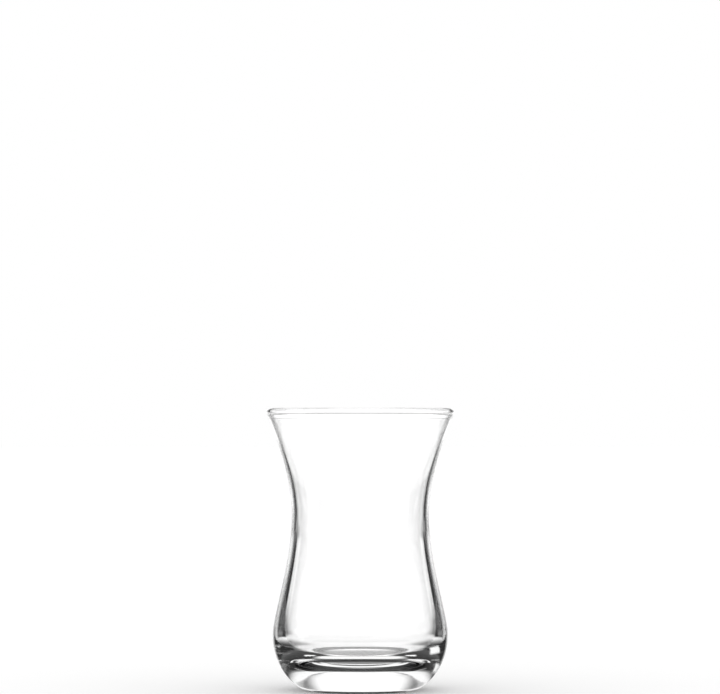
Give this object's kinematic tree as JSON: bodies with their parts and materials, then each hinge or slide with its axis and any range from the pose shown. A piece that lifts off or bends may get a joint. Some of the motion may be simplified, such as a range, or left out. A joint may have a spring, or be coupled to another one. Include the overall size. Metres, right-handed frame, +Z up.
{
  "type": "tea glass",
  "caption": "Waisted clear tea glass with a flared beaded rim, round belly and thick base, made in one piece for hot tea.",
  "frame": {"origin": "middle of the ring under the foot, on the surface that the glass stands on", "axes": "+Z up along the glass's axis of revolution; X and Y are alike"},
  "size_m": [0.0612, 0.0612, 0.09],
  "materials": {
    "clear_glass": "clear soda-lime glass, fire polished"
  },
  "bodies": {
    "root": {"tea_glass": "clear_glass"}
  },
  "joints": []
}
